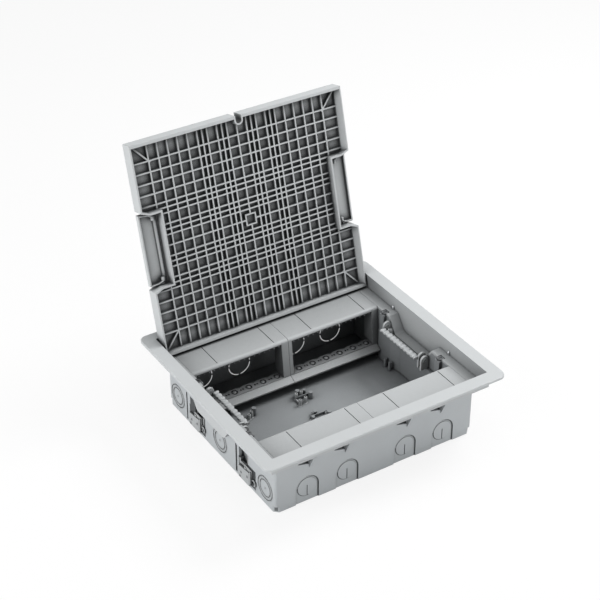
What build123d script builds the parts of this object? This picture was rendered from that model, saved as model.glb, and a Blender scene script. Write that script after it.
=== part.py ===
"""Floor socket box with a ribbed hinged lid, drawn open and leaning on its stop.

Millimetres, +Z up, +Y towards the lid hinge. The origin is the centre of the tub's underside.
"""

import math
import os

from build123d import *

# Trim frame
opening_width = 240.0
opening_depth = 217.5
flange_width = 14.0
flange_back_width = 11.0
flange_thickness = 2.5
flange_corner_radius = 8.0
flange_edge_radius = 1.0
frame_wall = 2.0
top_height = 75.0
recess_depth = 14.9
ledge_thickness = 2.0
trough_depth = 18.4
support_lip = 3.0

# Cable troughs in the two sides of the frame
side_trough_top = 36.0
side_trough_bottom = 24.0
side_trough_depth = 31.0
side_trough_round = 5.0
pad_radius = 1.6
pad_height = 2.6

# Tub
tub_inset_side = 8.0
tub_inset_end = 8.75
tub_side_wall = 3.4
tub_end_wall = 2.5
floor_thickness = 2.5
tub_corner_radius = 2.5
foot_notch = 3.0
foot_notch_height = 7.0
joint_gap = 0.3

# Conduit knock-outs
arch_width = 25.2
arch_height = 29.5
arch_depth = 0.9
arch_pitch_inner = 33.0
arch_pitch_outer = 77.2
arch_disc_radius = 10.2
ring_radius = 12.8
ring_inner_radius = 9.4
ring_groove = 0.9
ring_groove_depth = 0.7
ring_height = 18.6
ring_pitch = 82.5
knockout_slot = 12.0
slit_radius = 12.6
slit_width = 0.7
slit_height = 17.3
slit_bridge = 1.8

# Gussets below the flange
gusset_inner = 35.0
gusset_outer = 74.4
gusset_thickness = 1.2
gusset_drop = 20.0
gusset_reach = 8.6
gusset_window_height = 9.0
gusset_window_wide = 11.5
gusset_window_narrow = 7.0

# Floor clamps, two on each side
clamp_screw_rear = 44.6
clamp_screw_front = 49.8
clamp_pocket_length = 17.0
clamp_pocket_depth = 5.0
clamp_pocket_wall = 1.6
clamp_pocket_drop = 22.1
clamp_roof = 2.0
clamp_boss_half = 3.6
clamp_screw_radius = 1.75
clamp_screw_inset = 2.5
clamp_screw_end = 4.8
clamp_head_radius = 3.2
clamp_head_height = 1.9
claw_height = 17.5
claw_bottom = 6.0
claw_clearance = 0.4
screw_running = 0.06
wall_slot_height = 33.0
wall_slot_width = 1.8
wall_slot_rear = 64.0
wall_slot_front = -30.0

# Device holders, two behind the well and two in front
holder_depth = 36.4
holder_seat_rear = 7.45
holder_seat_front = 0.15
holder_gap = 0.15
holder_side_gap = 0.2
plate_thickness = 2.0
plate_edge_radius = 3.3
plate_foot = 2.0
cheek_left = 4.1
cheek_right = 7.7
cheek_thickness = 2.2
window_lean = 4.5
shelf_height = 19.0
shelf_thickness = 1.6
shelf_back = 6.5
lip_reach = 7.5
lip_drop = 4.2
lip_inset = 3.3
return_wall = 1.5
return_depth = 15.0
plate_groove_left = 29.2
plate_groove_right = 93.8
plate_groove_width = 0.8
plate_groove_depth = 0.5
eyelet_pitch = 16.5
eyelet_count = 6
eyelet_radius = 2.9
eyelet_slot = 1.0
eyelet_rise = 1.4
tie_slot_width = 1.3
tie_slot_length = 2.4
tie_slot_pitch = 2.8
tooth_count = 17
tooth_width = 1.2
tooth_drop = 0.9

# Cable combs over the side troughs
comb_front = -17.5
comb_length = 56.0
comb_width = 7.0
comb_below_trough = 1.0
comb_thickness = 3.4
comb_tooth_count = 7
comb_tooth_radius = 2.3
comb_tab_radius = 4.6
comb_tab_thickness = 2.2
comb_tab_rise = 2.6
comb_boss_radius = 4.4
comb_boss_length = 5.5
comb_boss_inset = 7.0
comb_boss_rise = 3.8
comb_screw_radius = 1.4
comb_screw_head = 2.4
comb_screw_sink = 2.0

# Lid
lid_gap_side = 2.3
lid_gap_end = 1.5
lid_thickness = 14.5
lid_wall = 3.0
lid_side_wall = 4.4
lid_side_rim = 1.2
lid_skin = 2.0
lid_cover_recess = 2.0
lid_cover_back = 18.0
lid_hinge_edge_radius = 4.0
rib_recess = 6.35
rib_thickness = 1.5
rib_pitch = 10.85
lid_open_angle = 104.87
pivot_from_back = 7.36
pivot_above_rim = 8.07
ring_half = 5.4
notch_width = 6.4
notch_depth = 8.0
notch_wall = 1.5
hinge_pin_radius = 2.4
hinge_boss_radius = 4.9
hinge_pin_cover = 1.2
pin_running = 0.06

# Cable exits with flaps in the lid
exit_depth = 20.4
exit_half_length = 36.6
exit_flare = 3.7
exit_flare_depth = 9.0
exit_wall = 1.9
flap_thickness = 1.8
flap_gap = 0.4
flap_barrel_radius = 2.3
flap_axis_inset = 3.0
flap_pin_radius = 1.0
flap_lip = 3.4
flap_max_angle = 100.0

# Worked-out places
half_width = opening_width / 2
half_depth = opening_depth / 2
ledge_top = top_height - recess_depth
ledge_bottom = ledge_top - ledge_thickness
trough_top = top_height - trough_depth
trough_bottom = trough_top - ledge_thickness
tub_half_width = half_width - tub_inset_side
tub_half_depth = half_depth - tub_inset_end
tub_width = 2 * tub_half_width
tub_depth = 2 * tub_half_depth
seat_rear = tub_half_depth - holder_seat_rear
seat_front = tub_half_depth - holder_seat_front
well_half_width = tub_half_width - tub_side_wall
holder_width = well_half_width - holder_side_gap
side_trough_floor = top_height - side_trough_depth
comb_top = side_trough_floor - comb_below_trough
clamp_pocket_top = ledge_bottom - clamp_pocket_drop
lid_half_width = half_width - lid_gap_side
lid_half_depth = half_depth - lid_gap_end
lid_rim = top_height - lid_thickness
pivot_y = lid_half_depth - pivot_from_back
pivot_z = lid_rim + pivot_above_rim
rib_bottom = lid_rim + rib_recess
skin_top = top_height - lid_cover_recess
skin_bottom = skin_top - lid_skin
exit_inner = lid_half_width - exit_depth
flap_axis_x = exit_inner + flap_axis_inset
flap_axis_z = top_height - flap_barrel_radius - 0.1
bulge_face = tub_half_width - clamp_pocket_depth - clamp_pocket_wall
screw_x = tub_half_width - clamp_screw_inset
pocket_beyond_screw = clamp_screw_inset + claw_clearance
comb_boss_y = comb_front + comb_length - comb_boss_inset
comb_boss_z = comb_top + comb_boss_rise
comb_boss_face = well_half_width - comb_boss_length
SIDES = (("left", -1), ("right", 1))
ENDS = (("front", -1, -clamp_screw_front), ("rear", 1, clamp_screw_rear))


def block(x0, x1, y0, y1, z0, z1):
    """A box between two corners."""
    size = (abs(x1 - x0), abs(y1 - y0), abs(z1 - z0))
    return Pos((x0 + x1) / 2, (y0 + y1) / 2, (z0 + z1) / 2) * Box(*size)


def prism_x(points, x0, x1):
    """A closed outline in the YZ plane, run from x0 to x1."""
    face = make_face(Polyline([(x0, y, z) for y, z in points], close=True))
    return extrude(face, amount=x1 - x0, dir=(1, 0, 0))


def prism_y(points, y0, y1):
    """A closed outline in the XZ plane, run from y0 to y1."""
    face = make_face(Polyline([(x, y0, z) for x, z in points], close=True))
    return extrude(face, amount=y1 - y0, dir=(0, 1, 0))


def rod_x(radius, x0, x1, y, z):
    """A round bar along X."""
    return Pos((x0 + x1) / 2, y, z) * Rot(0, 90, 0) * Cylinder(radius, abs(x1 - x0))


def rod_y(radius, y0, y1, x, z):
    """A round bar along Y."""
    return Pos(x, (y0 + y1) / 2, z) * Rot(90, 0, 0) * Cylinder(radius, abs(y1 - y0))


def rod_z(radius, z0, z1, x, y):
    """A round bar along Z."""
    return Pos(x, y, (z0 + z1) / 2) * Cylinder(radius, abs(z1 - z0))


def mirrored(part, side):
    """The part as drawn for the right, or its mirror image for the left."""
    return part if side > 0 else mirror(part, about=Plane.YZ)


def side_trough(grow, x0, x1):
    """Solid in the shape of a side trough, sloped at both ends and grown outwards by a wall."""
    run = side_trough_top - side_trough_bottom
    rise = ledge_top - side_trough_floor
    slope = math.hypot(run, rise)
    top = side_trough_top + grow * slope / rise
    bottom = side_trough_bottom + grow * (slope - run) / rise
    floor = side_trough_floor - grow
    body = prism_x([(-top, ledge_top), (-bottom, floor), (bottom, floor), (top, ledge_top)], x0, x1)
    low = body.edges().filter_by(Axis.X).group_by(Axis.Z)[0]
    return fillet(low, side_trough_round + grow)


def make_frame():
    """Flange, recess walls, ledge, hinge trough, holder seats and the two cable troughs."""
    flange_depth = opening_depth + flange_width + flange_back_width
    flange_y = (flange_back_width - flange_width) / 2
    outline = RectangleRounded(opening_width + 2 * flange_width, flange_depth, flange_corner_radius)
    plate = extrude(Pos(0, flange_y, top_height - flange_thickness) * outline, amount=flange_thickness)
    plate = fillet(plate.faces().sort_by(Axis.Z)[-1].edges(), flange_edge_radius)
    outer = half_width + frame_wall
    back = half_depth + frame_wall
    walls = block(-outer, outer, -back, back, ledge_bottom, top_height - flange_thickness)
    rear_drop = block(-outer, outer, seat_rear - support_lip, back, trough_bottom, ledge_bottom)
    front_drop = block(-outer, outer, -seat_front - frame_wall, -seat_front, trough_bottom, ledge_bottom)
    well = well_half_width
    frame = plate + walls + rear_drop + front_drop
    frame -= block(-half_width, half_width, -half_depth, half_depth, ledge_top, top_height)
    frame -= block(-half_width, half_width, seat_rear, half_depth, trough_top, ledge_top)
    frame -= block(-well, well, -seat_front, seat_rear, trough_top, ledge_top)
    frame -= block(-well, well, -seat_front, seat_rear - support_lip, trough_bottom, trough_top)
    frame += block(-well, well, -seat_front - frame_wall, -seat_front + support_lip, trough_bottom, trough_top)
    for name, side in SIDES:
        frame += mirrored(side_trough(frame_wall, well, outer), side)
        frame -= mirrored(side_trough(0, well - 1, half_width), side)
        boss_end = side * (half_width + 2 * frame_wall)
        frame += rod_x(hinge_boss_radius, side * half_width, boss_end, pivot_y, pivot_z)
        frame += block(side * half_width, boss_end, pivot_y - hinge_boss_radius, pivot_y + hinge_boss_radius, pivot_z,
                       top_height - flange_thickness)
        frame -= rod_x(hinge_pin_radius, side * (half_width - 1), boss_end, pivot_y, pivot_z)
        for end_name, end, y in ENDS:
            reach = clamp_head_radius + joint_gap
            frame -= block(side * (well - 1), side * (screw_x + reach), y - reach, y + reach, ledge_bottom, ledge_top)
            pad = rod_z(pad_radius, ledge_bottom, ledge_top + pad_height, side * half_width, y)
            frame += pad & block(side * (half_width - pad_radius), side * outer, y - reach, y + reach, ledge_bottom,
                                 top_height)
    return frame


def arch_cutters(wall_y, outward):
    """Recessed arches with a raised disc and a screwdriver slot, on an end wall."""
    cuts = Part()
    centre = arch_height - arch_width / 2
    floor_y = wall_y - outward * arch_depth
    disc_y = wall_y - outward * arch_depth / 2
    clear_y = wall_y + outward
    for x in (-arch_pitch_outer, -arch_pitch_inner, arch_pitch_inner, arch_pitch_outer):
        arch = block(x - arch_width / 2, x + arch_width / 2, floor_y, clear_y, -0.5, centre)
        arch += rod_y(arch_width / 2, floor_y, clear_y, x, centre)
        arch -= rod_y(arch_disc_radius, floor_y - outward, disc_y, x, centre)
        slot_y = floor_y - outward * ring_groove_depth / 2
        slot = block(x - 0.45, x + 0.45, slot_y, clear_y, centre - knockout_slot * 0.85, centre + knockout_slot * 0.15)
        cuts += arch + slot
    return cuts


def knockout_slits():
    """Round slits through the rear wall, each left with four bridges."""
    cuts = Part()
    y0, y1 = tub_half_depth - tub_end_wall - 1, tub_half_depth + 1
    for x in (-arch_pitch_outer, -arch_pitch_inner, arch_pitch_inner, arch_pitch_outer):
        slit = rod_y(slit_radius, y0, y1, x, slit_height) - rod_y(slit_radius - slit_width, y0, y1, x, slit_height)
        reach = slit_radius + 1
        half = slit_bridge / 2
        slit -= block(x - reach, x + reach, y0, y1, slit_height - half, slit_height + half)
        slit -= block(x - half, x + half, y0, y1, slit_height - reach, slit_height + reach)
        cuts += slit
    return cuts


def ring_cutter(radius, wall_x, outward, y):
    """A thin round groove in a side wall."""
    x0 = wall_x - outward * ring_groove_depth
    x1 = wall_x + outward
    return rod_x(radius, x0, x1, y, ring_height) - rod_x(radius - ring_groove, x0, x1, y, ring_height)


def make_gusset(x, end):
    """A triangular rib between an end wall and the underside of the frame."""
    wall = tub_half_depth - 0.5
    tip = tub_half_depth + gusset_reach
    step = seat_front + frame_wall
    low = ledge_bottom - gusset_drop
    if end < 0:
        outline = [(-wall, trough_bottom), (-step, trough_bottom), (-step, ledge_bottom), (-tip, ledge_bottom),
                   (-wall, low)]
    else:
        outline = [(wall, trough_bottom), (tip, trough_bottom), (wall, low)]
    return prism_x(outline, x - gusset_thickness / 2, x + gusset_thickness / 2)


def clamp_housing(side, end, y):
    """Inward bulge of the side wall round a clamp, and the boss that guides its screw above."""
    y0, y1 = sorted((y + end * (pocket_beyond_screw + clamp_pocket_wall),
                     y + end * (pocket_beyond_screw - clamp_pocket_length - clamp_pocket_wall)))
    shell = block(side * bulge_face, side * (tub_half_width - 0.5), y0, y1, floor_thickness,
                  clamp_pocket_top + clamp_roof)
    boss = block(side * bulge_face, side * (tub_half_width - 0.5), y - clamp_boss_half, y + clamp_boss_half,
                 clamp_pocket_top, ledge_bottom)
    return shell + boss


def clamp_pocket(side, end, y):
    """Space for a claw and its nut, open to the outside, with the screw hole above."""
    y0, y1 = sorted((y + end * pocket_beyond_screw, y + end * (pocket_beyond_screw - clamp_pocket_length)))
    pocket = block(side * (tub_half_width - clamp_pocket_depth), side * (tub_half_width + 1), y0, y1,
                   floor_thickness, clamp_pocket_top)
    return pocket + rod_z(clamp_screw_radius + joint_gap, clamp_pocket_top - 1, ledge_bottom + 1, side * screw_x, y)


def gusset_windows(x, end):
    """The two dark openings beside a gusset, each with a sloped sill."""
    top = trough_bottom - 2.0
    low = top - gusset_window_height
    y0 = end * (tub_half_depth - tub_end_wall - 1)
    y1 = end * (tub_half_depth + 1)
    near = x - gusset_thickness
    far = near - gusset_window_wide
    wide = prism_y([(far, low + 3), (far, top), (near, top), (near, low)], y0, y1)
    near = x + gusset_thickness
    far = near + gusset_window_narrow
    return wide + prism_y([(near, low + 3), (near, top), (far, top), (far, low + 4)], y0, y1)


def make_tub():
    """The moulded tub with its knock-outs, gussets, clamp pockets and floor studs."""
    tub = extrude(RectangleRounded(tub_width, tub_depth, tub_corner_radius), amount=ledge_bottom)
    tub -= block(-well_half_width, well_half_width, -tub_half_depth + tub_end_wall, tub_half_depth - tub_end_wall,
                 floor_thickness, ledge_bottom)
    tub -= block(-tub_width, tub_width, seat_rear - support_lip, tub_depth, trough_bottom, ledge_bottom)
    tub -= block(-well_half_width, well_half_width, -tub_depth, -seat_front + support_lip, trough_bottom,
                 ledge_bottom)
    tub -= block(-tub_width, tub_width, -tub_depth, -seat_front, trough_bottom, ledge_bottom)
    for x in (-tub_half_width, tub_half_width):
        for y in (-tub_half_depth, tub_half_depth):
            notch = Pos(x, y, foot_notch_height / 2) * Rot(0, 0, 45)
            tub -= notch * Box(2 * foot_notch, 2 * foot_notch, foot_notch_height)
    for end in (-1, 1):
        tub -= arch_cutters(end * tub_half_depth, end) if end < 0 else knockout_slits()
        for x in (-gusset_outer, -gusset_inner, gusset_inner, gusset_outer):
            tub -= gusset_windows(x, end)
            tub += make_gusset(x, end)
    for name, side in SIDES:
        tub -= mirrored(side_trough(frame_wall, well_half_width - 1, tub_half_width + 1), side)
        tub -= rod_x(comb_screw_radius, side * (well_half_width - 1), side * tub_half_width, comb_boss_y, comb_boss_z)
        for y in (-ring_pitch, 0, ring_pitch):
            tub -= ring_cutter(ring_radius, side * tub_half_width, side, y)
            tub -= ring_cutter(ring_inner_radius, side * tub_half_width, side, y)
        for end_name, end, y in ENDS:
            tub += clamp_housing(side, end, y)
            tub -= clamp_pocket(side, end, y)
        for y in (wall_slot_front, wall_slot_rear):
            tub -= block(side * (tub_half_width - 1.4), side * (tub_half_width + 1), y - wall_slot_width / 2,
                         y + wall_slot_width / 2, floor_thickness, floor_thickness + wall_slot_height)
    return tub + floor_studs()


def floor_studs():
    """Small posts and ribs standing on the floor of the tub."""
    studs = []
    for x, y, radius, height in ((-2, 36, 2.2, 8), (6, 36, 1.6, 6), (8, 27, 2.2, 8), (-3, 2, 2.2, 5),
                                 (-10, -6, 1.8, 6), (9, -6, 2.2, 5), (-54, 34, 2.4, 9), (102, 31, 1.6, 10),
                                 (102, 23, 1.6, 10), (-102, 31, 1.6, 10), (-102, 23, 1.6, 10)):
        studs.append(rod_z(radius, floor_thickness - 0.5, floor_thickness + height, x, y))
    studs.append(block(-6, 10, 30.5, 31.7, floor_thickness - 0.5, floor_thickness + 4))
    studs.append(block(-10, 9, -1.6, -0.4, floor_thickness - 0.5, floor_thickness + 3))
    return Compound(studs).solids()


def plate_profile():
    """Section of a holder's top plate from its foot at Y = 0 to the rounded edge over the window."""
    r = plate_edge_radius
    t = plate_thickness
    z = ledge_top
    face = -holder_depth
    with BuildSketch(Plane.YZ) as profile:
        with BuildLine():
            top = Line((0, z), (face + r, z))
            RadiusArc(top @ 1, (face, z - r), -r)
            Polyline((face, z - r), (face + t, z - r), (face + t, z - t), (-plate_foot, z - t),
                     (-plate_foot, trough_top), (0, trough_top), (0, z))
        make_face()
    return profile.sketch


def tie_eyelet(x, y):
    """Cutter for the eight-sided slot round an eyelet for a cable tie, open on one side."""
    ring = RegularPolygon(eyelet_radius + eyelet_slot, 8) - RegularPolygon(eyelet_radius, 8)
    ring -= Pos(-eyelet_radius - eyelet_slot / 2, 0) * Rectangle(eyelet_radius, 3 * eyelet_radius)
    return extrude(Pos(x, y, shelf_height - 5) * ring, amount=6)


def make_holder_blank():
    """A device holder on the right of the centre line, its back edge on Y = 0."""
    x0 = holder_gap
    x1 = holder_width
    window_end = x1 - cheek_right
    face = -holder_depth
    top = ledge_top - plate_edge_radius
    plate_low = ledge_top - plate_thickness
    shelf_y = face - window_lean
    shelf_low = shelf_height - shelf_thickness
    holder = extrude(Pos(x0, 0, 0) * plate_profile(), amount=x1 - x0)
    slant = [(face, top + 0.5), (face + cheek_thickness, top + 0.5), (shelf_y + cheek_thickness, shelf_low),
             (shelf_y, shelf_low)]
    holder += prism_x(slant, x0, cheek_left) + prism_x(slant, window_end, x1)
    back = face + return_depth
    returns = [(face + 0.3, plate_low + 0.5), (back, plate_low + 0.5), (back - 4, shelf_low), (shelf_y + 0.3, shelf_low)]
    holder += prism_x(returns, cheek_left - return_wall, cheek_left)
    holder += prism_x(returns, window_end, window_end + return_wall)
    holder += block(x0, x1, shelf_y, face + shelf_back, shelf_low, shelf_height)
    lip_y = shelf_y - lip_reach
    lip = [(shelf_y + 0.6, shelf_height - 0.5), (shelf_y + 0.6, shelf_low - 0.4), (lip_y, shelf_low - lip_drop),
           (lip_y, shelf_height - lip_drop)]
    holder += prism_x(lip, x0 + lip_inset, x1 - lip_inset)
    eye_y = shelf_y + 5.6
    first = (x0 + x1 - (eyelet_count - 1) * eyelet_pitch) / 2
    cuts = Part()
    for i in range(eyelet_count):
        x = first + i * eyelet_pitch
        cuts += tie_eyelet(x, eye_y)
        scoop = RegularPolygon(eyelet_pitch * 0.34, 8)
        cuts += extrude(Pos(x + eyelet_pitch / 2, face + shelf_back + eyelet_pitch * 0.24, shelf_low - 1) * scoop,
                        amount=shelf_thickness + 2)
        if i < eyelet_count - 1:
            for shift in (-tie_slot_pitch / 2, tie_slot_pitch / 2):
                slot_x = x + eyelet_pitch / 2 + shift + 0.6
                cuts += block(slot_x - tie_slot_width / 2, slot_x + tie_slot_width / 2,
                              eye_y - tie_slot_length / 2, eye_y + tie_slot_length / 2, shelf_low - 1,
                              shelf_height + 1)
    for x in (plate_groove_left, plate_groove_right):
        cuts += block(x - plate_groove_width / 2, x + plate_groove_width / 2, face + plate_edge_radius, 1,
                      ledge_top - plate_groove_depth, ledge_top + 1)
    holder -= cuts
    window = window_end - cheek_left
    teeth = Part()
    for i in range(tooth_count):
        x = cheek_left + (i + 0.5) * window / tooth_count
        teeth += block(x - tooth_width / 2, x + tooth_width / 2, face + 0.2, face + plate_thickness,
                       top - tooth_drop, plate_low)
    return holder + teeth


def place_holder(blank, side, end):
    """The blank moved to its compartment: left ones are shifted, front ones mirrored."""
    shift = 0 if side > 0 else -(holder_width + holder_gap)
    seat = (seat_rear if end > 0 else seat_front) - joint_gap / 2
    holder = Pos(shift, seat, 0) * blank
    return holder if end > 0 else mirror(holder, about=Plane.XZ)


def make_comb(side):
    """Toothed strain-relief bar on the side wall, with a rounded end tab and a screw boss."""
    x1 = well_half_width
    x0 = x1 - comb_width
    z0 = comb_top - comb_thickness
    back = comb_front + comb_length
    comb = block(x0 + 1.5, x1, comb_front, back, z0, comb_top)
    pitch = comb_length / comb_tooth_count
    for i in range(comb_tooth_count):
        y = comb_front + (i + 0.5) * pitch
        tooth = RegularPolygon(comb_tooth_radius, 6)
        comb += extrude(Pos(x0 + comb_tooth_radius, y, z0) * tooth, amount=comb_thickness)
    tab_front, tab_x, tab_z = comb_front - comb_tab_thickness, x1 - comb_tab_radius, comb_top + comb_tab_rise
    comb += rod_y(comb_tab_radius, tab_front, comb_front + 0.2, tab_x, tab_z)
    comb += block(x1 - 2 * comb_tab_radius, x1, tab_front, comb_front + 0.2, z0 - comb_tab_rise, tab_z)
    boss_low = comb_boss_z - comb_boss_rise - comb_thickness
    comb += rod_x(comb_boss_radius, comb_boss_face, x1, comb_boss_y, comb_boss_z)
    comb += block(comb_boss_face, x1, comb_boss_y - comb_boss_radius, comb_boss_y + comb_boss_radius, boss_low,
                  comb_boss_z)
    comb -= rod_x(comb_screw_head, comb_boss_face - 1, comb_boss_face + comb_screw_sink, comb_boss_y, comb_boss_z)
    comb -= rod_x(comb_screw_radius, comb_boss_face - 1, x1 + 1, comb_boss_y, comb_boss_z)
    return mirrored(comb, side)


def make_comb_screws():
    """The two screws that hold the combs' bosses to the side walls."""
    screws = []
    seat = comb_boss_face + comb_screw_sink
    for name, side in SIDES:
        y, z = comb_boss_y, comb_boss_z
        shank = rod_x(comb_screw_radius, side * seat, side * tub_half_width, y, z)
        head = rod_x(comb_screw_head - joint_gap, side * (seat - 1.2), side * seat, y, z)
        slot = block(side * (seat - 2), side * (seat - 0.6), y - 0.3, y + 0.3, z - 3, z + 3)
        screws.append(shank + head - slot)
    return screws


def make_clamp_screw(side, y):
    """Long slotted screw that raises a claw."""
    x = side * screw_x
    top = ledge_bottom + clamp_head_height
    shank = rod_z(clamp_screw_radius, floor_thickness + joint_gap, ledge_bottom, x, y)
    head = rod_z(clamp_head_radius, ledge_bottom, top, x, y)
    head -= block(x - 2.2, x + 2.2, y - 0.4, y + 0.4, top - 1, top + 1)
    return shank + head


def make_clamp_claw(side, end, y):
    """Claw lying in its pocket: a rounded hub on the screw and a stepped jaw beside it."""
    x = side * screw_x
    outer = side * (tub_half_width - 0.1)
    inner = side * (tub_half_width - clamp_pocket_depth + claw_clearance)
    tip = y + end * (pocket_beyond_screw - clamp_pocket_length + claw_clearance)
    shoulder = tip + end * 2.4
    hub = clamp_pocket_depth / 2 - claw_clearance
    z0, z1 = claw_bottom, claw_bottom + claw_height
    claw = rod_z(hub, z0, z1, x, y)
    claw += block(inner, outer, tip, y, z0, z1 - 3.0)
    claw += block(inner, outer, tip, shoulder, z0, z1)
    claw -= block(inner - side, side * (tub_half_width - 2.2), shoulder, y - end * (hub + 0.6), z1 - 7.0, z1 + 1)
    claw -= rod_z(clamp_screw_radius + screw_running, z0 - 1, z1 + 1, x, y)
    return claw


def rib_lines(limit_index):
    """Offsets of the ribs from the middle: one pitch apart, with half steps in two bands."""
    steps = list(range(limit_index + 1)) + [1.5, 3.5]
    return sorted({sign * step * rib_pitch for step in steps for sign in (-1, 1)})


def exit_outline(grow):
    """Plan of the cable exit on the right: straight sides that flare at the lid's edge."""
    inner = exit_inner - grow
    bend = lid_half_width - exit_flare_depth
    edge = lid_half_width
    half = exit_half_length + grow
    return [(edge, -half - exit_flare), (bend, -half), (inner, -half), (inner, half), (bend, half),
            (edge, half + exit_flare)]


def flat_face(points):
    """A face in the XY plane with straight edges."""
    return make_face(Polyline([(x, y, 0) for x, y in points], close=True))


def notch_face(grow):
    """Plan of the finger notch in the front rim, grown by its wall."""
    radius = notch_width / 2 + grow
    centre = -lid_half_depth + notch_depth - notch_width / 2
    return Pos(0, (centre - lid_half_depth) / 2) * Rectangle(2 * radius, centre + lid_half_depth) + \
        Pos(0, centre) * Circle(radius)


def lid_plan():
    """Outline of the lid with its two cable exits and the finger notch cut away."""
    w, d = lid_half_width, lid_half_depth
    right = exit_outline(0)
    left = [(-x, y) for x, y in reversed(right)]
    return flat_face([(-w, -d), (w, -d)] + right + [(w, d), (-w, d)] + left) - notch_face(0)


def wall_plan():
    """Room inside the lid's walls: clear of the rim, the exits' walls and the notch's wall."""
    w, d = lid_half_width - lid_side_rim, lid_half_depth - lid_wall
    right = exit_outline(exit_wall)
    room = Rectangle(2 * w, 2 * d) - flat_face(right) - flat_face([(-x, y) for x, y in right])
    return room - notch_face(notch_wall)


def diagonal_rib(sx, sy):
    """Plan of the rib from a rim corner to the first crossing."""
    x0, y0 = sx * 9 * rib_pitch, sy * 8 * rib_pitch
    x1, y1 = sx * (lid_half_width - lid_side_wall), sy * (lid_half_depth - lid_wall)
    angle = math.degrees(math.atan2(y1 - y0, x1 - x0))
    rib = Rectangle(math.hypot(x1 - x0, y1 - y0) + 4, rib_thickness)
    return Pos((x0 + x1) / 2, (y0 + y1) / 2) * Rot(0, 0, angle) * rib


def rib_cells():
    """Faces of the open cells between the ribs, clipped by whatever stands among them."""
    half = rib_thickness / 2
    inner_x, inner_y = lid_half_width - lid_side_wall, lid_half_depth - lid_wall
    xs = [-inner_x - half] + rib_lines(9) + [inner_x + half]
    ys = [-inner_y - half] + rib_lines(8) + [inner_y + half]
    room = wall_plan()
    ring = 2 * ring_half + rib_thickness
    solids = [diagonal_rib(sx, sy) for sx in (-1, 1) for sy in (-1, 1)] + [Rectangle(ring, ring)]
    cells = [Rectangle(ring - 2 * rib_thickness, ring - 2 * rib_thickness).face()]
    for x0, x1 in zip(xs, xs[1:]):
        for y0, y1 in zip(ys, ys[1:]):
            low_x, high_x, low_y, high_y = x0 + half, x1 - half, y0 + half, y1 - half
            cell = Pos((low_x + high_x) / 2, (low_y + high_y) / 2) * Rectangle(high_x - low_x, high_y - low_y)
            near_exit = max(abs(low_x), abs(high_x)) > exit_inner - exit_wall and \
                min(abs(low_y), abs(high_y)) < exit_half_length + exit_wall + exit_flare
            near_notch = min(abs(low_x), abs(high_x)) < notch_width and low_y < -lid_half_depth + 2 * notch_depth
            near_corner = max(abs(low_x), abs(high_x)) > 8.9 * rib_pitch and \
                max(abs(low_y), abs(high_y)) > 7.9 * rib_pitch
            near_centre = min(abs(low_x), abs(high_x)) < ring_half and min(abs(low_y), abs(high_y)) < ring_half
            if near_exit or near_notch:
                cell = cell & room
            if near_corner or near_centre:
                for solid in solids:
                    cell = cell - solid
            cells += [face for face in cell.faces() if face.area > 4.0]
    return cells


def make_lid_closed():
    """The lid as it lies shut in the frame: rim and walls, waffle of ribs, and skin, laid in layers."""
    w, d = lid_half_width, lid_half_depth
    plan = lid_plan()
    walls = extrude(Pos(0, 0, lid_rim) * (plan - wall_plan()), amount=rib_recess)
    waffle = Face(plan.face().outer_wire(), [cell.outer_wire() for cell in rib_cells()])
    waffle = extrude(Pos(0, 0, rib_bottom) * waffle, amount=skin_bottom - rib_bottom)
    skin = extrude(Pos(0, 0, skin_bottom) * plan, amount=top_height - skin_bottom)
    cover = block(-w + lid_wall, w - lid_wall, -d + lid_wall, d - lid_cover_back, skin_top, top_height)
    for name, side in SIDES:
        cover -= mirrored(extrude(Pos(0, 0, skin_top) * flat_face(exit_outline(exit_wall)), amount=10), side)
    cover -= extrude(Pos(0, 0, skin_top) * notch_face(notch_wall), amount=10)
    radius = lid_hinge_edge_radius
    corner = block(-w, w, d - radius, d + 1, top_height - radius, top_height + 1)
    corner -= rod_x(radius, -w, w, d - radius, top_height - radius)
    skin = skin - cover - corner
    slope = [(w - lid_side_rim, lid_rim), (w - lid_side_rim, rib_bottom), (w - lid_side_wall, rib_bottom)]
    slopes = prism_y(slope, -d + lid_wall - 0.2, d - lid_wall + 0.2)
    slopes -= extrude(Pos(0, 0, lid_rim - 1) * flat_face(exit_outline(exit_wall / 2)), amount=rib_recess + 2)
    holes = Part()
    for name, side in SIDES:
        walls += mirrored(slopes, side)
        inner = side * (w - lid_side_wall + hinge_pin_cover - 0.3)
        holes += rod_x(hinge_pin_radius + pin_running, inner, side * (w + 1), pivot_y, pivot_z)
        for end in (-1, 1):
            y0 = end * (exit_half_length - 1)
            y1 = end * (exit_half_length + exit_wall + 1)
            holes += rod_y(flap_pin_radius, y0, y1, side * flap_axis_x, flap_axis_z)
    return (walls + skin - holes) + (waffle - holes)


def make_flap_closed(side):
    """Cable-exit flap: a thin door with a hinge barrel and stiffened edges."""
    half = exit_half_length - flap_gap
    outer = lid_half_width - 0.2
    z1 = top_height
    z0 = z1 - flap_thickness
    door = block(flap_axis_x, outer, -half, half, z0, z1)
    door += block(outer - 1.4, outer, -half, half, z0 - flap_lip, z1)
    for end in (-1, 1):
        rib = [(flap_axis_x + 1, z0 - 1.6), (outer, z0 - flap_lip), (outer, z1), (flap_axis_x + 1, z1)]
        y0, y1 = sorted((end * half, end * (half - 1.2)))
        door += prism_y(rib, y0, y1)
    door += rod_y(flap_barrel_radius, -half, half, flap_axis_x, flap_axis_z)
    door -= rod_y(flap_pin_radius + screw_running, -half - 1, half + 1, flap_axis_x, flap_axis_z)
    return mirrored(door, side)


def make_flap_pin_closed(side):
    """Steel pin through the flap's barrel and the ends of the exit."""
    half = exit_half_length + exit_wall
    return rod_y(flap_pin_radius, -half, half, side * flap_axis_x, flap_axis_z)


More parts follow.
